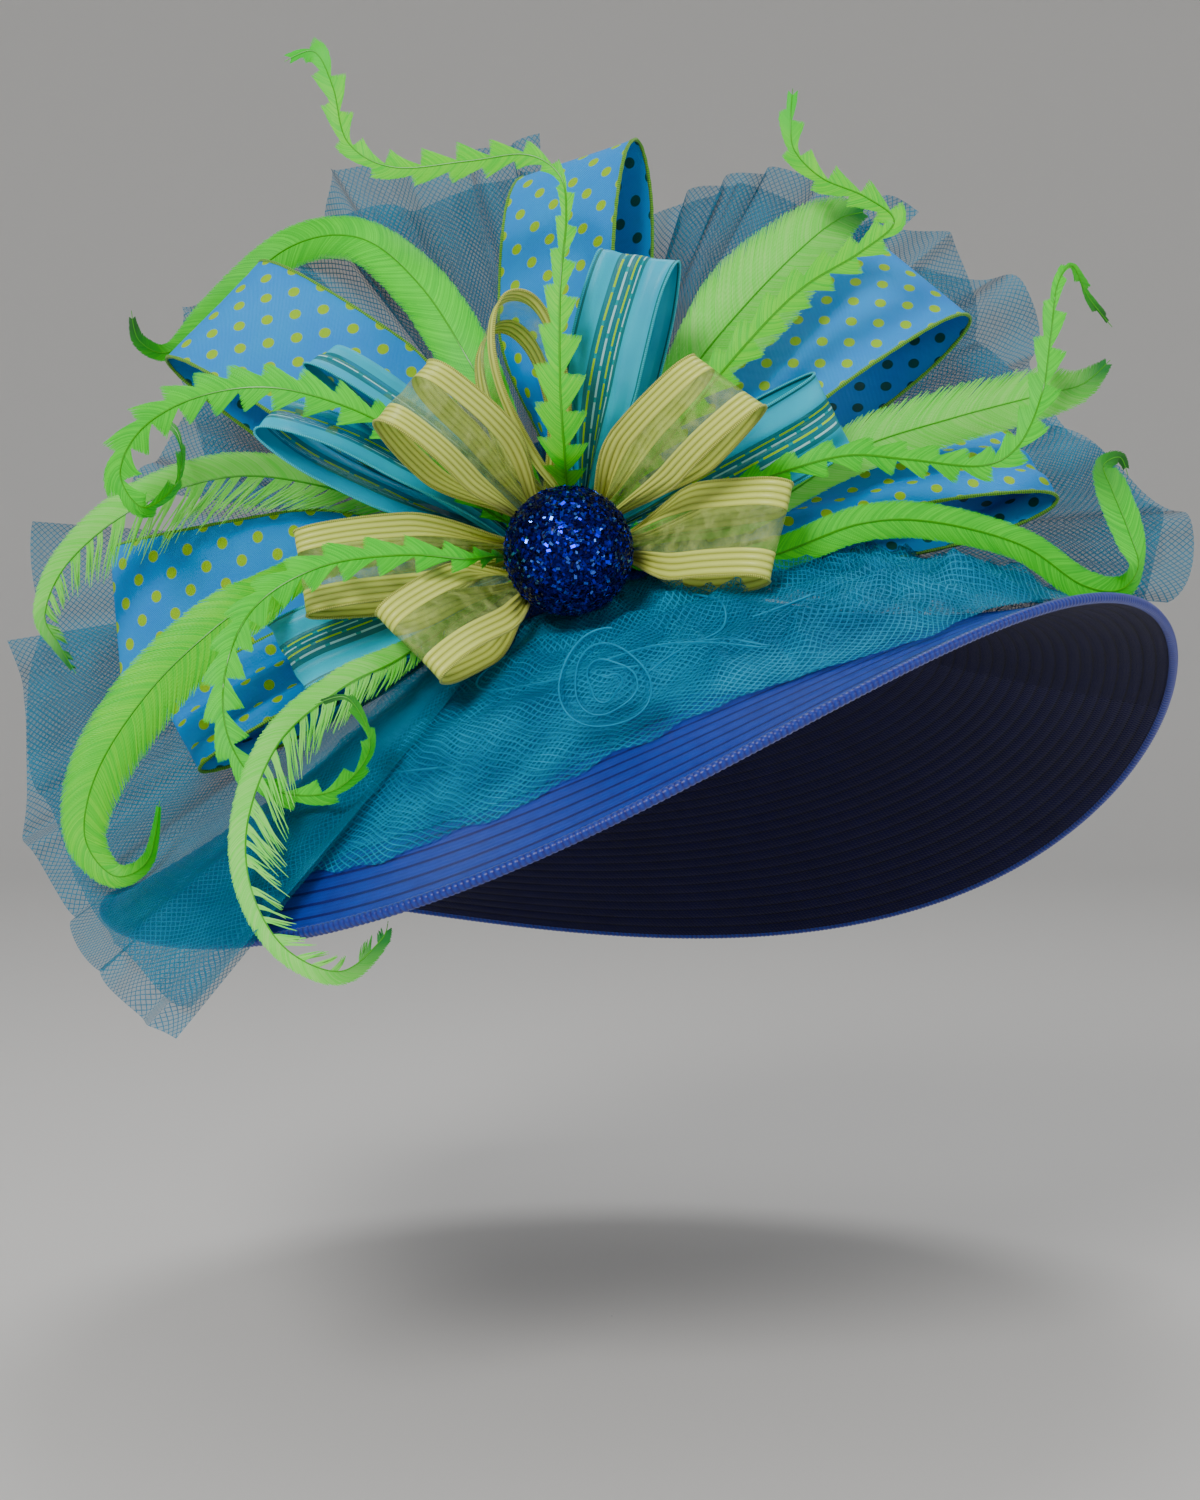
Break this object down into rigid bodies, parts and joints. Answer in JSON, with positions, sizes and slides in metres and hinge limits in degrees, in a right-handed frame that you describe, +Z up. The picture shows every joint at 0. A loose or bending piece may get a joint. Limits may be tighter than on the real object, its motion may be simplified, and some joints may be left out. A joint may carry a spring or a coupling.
{
  "type": "derby hat",
  "caption": "Wide-brimmed straw dress hat worn at a tilt, its drooping brim trimmed with a ribbon-loop bow, a glitter ball, curled feathers and gathered net.",
  "frame": {"origin": "middle of the head opening, at the height where the brim meets the crown, where the hat sits on a head", "axes": "+Z up as the hat is worn, -Y to the wearer's front, +X to the wearer's left"},
  "size_m": [0.6151, 0.5576, 0.4682],
  "materials": {
    "straw": "sewn straw braid with a soft sheen",
    "binding": "corded straw whip-stitched over a wire",
    "post_felt": "matt felt",
    "glitter": "foil chips",
    "spotted": "satin ribbon with printed dots",
    "striped": "satin and sheer ribbon with metallic lines",
    "sheer": "sheer ribbon with ribbed satin bands",
    "feather": "dyed feather",
    "net": "open net"
  },
  "bodies": {
    "root": {"crown": "straw", "brim": "straw", "brim_binding": "binding", "bow_post": "post_felt", "glitter_ball": "glitter", "loop_spotted_top": "spotted", "loop_spotted_upper_left": "spotted", "loop_spotted_left": "spotted", "loop_spotted_lower_left": "spotted", "loop_spotted_upper_right": "spotted", "loop_spotted_right": "spotted", "loop_striped_top": "striped", "loop_striped_right": "striped", "loop_striped_upper_left": "striped", "loop_striped_back_left": "striped", "loop_striped_lower_left": "striped", "loop_sheer_upper_left": "sheer", "loop_sheer_top": "sheer", "loop_sheer_upper_right": "sheer", "loop_sheer_left": "sheer", "loop_sheer_lower_left": "sheer", "loop_sheer_right": "sheer", "feather_arch_left": "feather", "feather_broad_right": "feather", "feather_pale_right": "feather", "feather_long_right": "feather", "feather_pale_left": "feather", "feather_bright_left": "feather", "feather_drooping_left": "feather", "feather_notched_top": "feather", "feather_notched_upper_right": "feather", "feather_notched_right": "feather", "feather_notched_ring_left": "feather", "feather_notched_ring_lower_left": "feather", "net_fan_top": "net", "net_fan_left": "net", "net_fan_upper_right": "net", "net_fan_right": "net", "net_drape_left": "net", "net_band_front": "net", "net_whorl": "net"}
  },
  "joints": []
}
